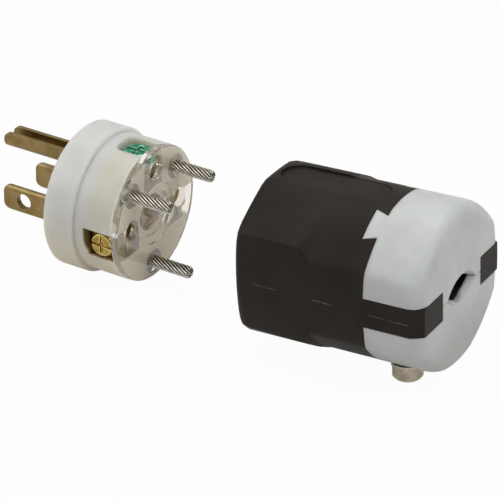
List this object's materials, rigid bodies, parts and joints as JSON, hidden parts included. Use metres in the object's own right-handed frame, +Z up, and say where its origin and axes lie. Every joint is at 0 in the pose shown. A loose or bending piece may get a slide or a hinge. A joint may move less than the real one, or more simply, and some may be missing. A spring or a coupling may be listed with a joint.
{
  "type": "electrical plug",
  "caption": "Straight-blade plug lying open: a translucent contact half with blades, U-shaped pin and clear cover, and a black back shell with a dovetailed cord clamp.",
  "frame": {"origin": "centre of the plug's flat front face, between the blades and the ground pin", "axes": "+X along the plug's axis from the front face towards the cord end, +Z up through the ground pin"},
  "size_m": [0.1175, 0.0378, 0.0403],
  "materials": {
    "nylon": "translucent satin",
    "clear_plastic": "clear",
    "brass": "dull",
    "brass_screw": "satin",
    "green_screw": "gloss",
    "steel": "zinc plated",
    "black_plastic": "fine grain",
    "black_rubber": "matt",
    "white_plastic": "satin",
    "nickel_steel": "nickel plated"
  },
  "bodies": {
    "root": {"plug_body": "nylon", "clear_cover": "clear_plastic", "line_blade": "brass", "neutral_blade": "brass", "ground_pin": "brass", "line_terminal_screw": "brass_screw", "neutral_terminal_screw": "brass_screw", "ground_terminal_screw": "green_screw", "line_clamp_plate": "brass", "neutral_clamp_plate": "brass", "ground_clamp_plate": "brass", "assembly_screw_left": "steel", "assembly_screw_right": "steel", "assembly_screw_lower": "steel", "back_shell": "black_plastic", "shell_insert_left": "brass", "shell_insert_right": "brass", "shell_insert_lower": "brass", "cord_seal": "black_rubber", "upper_clamp_jaw": "white_plastic", "lower_clamp_jaw": "white_plastic", "clamp_screw_left": "nickel_steel", "clamp_screw_right": "nickel_steel", "clamp_washer_left": "nickel_steel", "clamp_washer_right": "nickel_steel", "clamp_nut_left": "steel", "clamp_nut_right": "steel"}
  },
  "joints": []
}
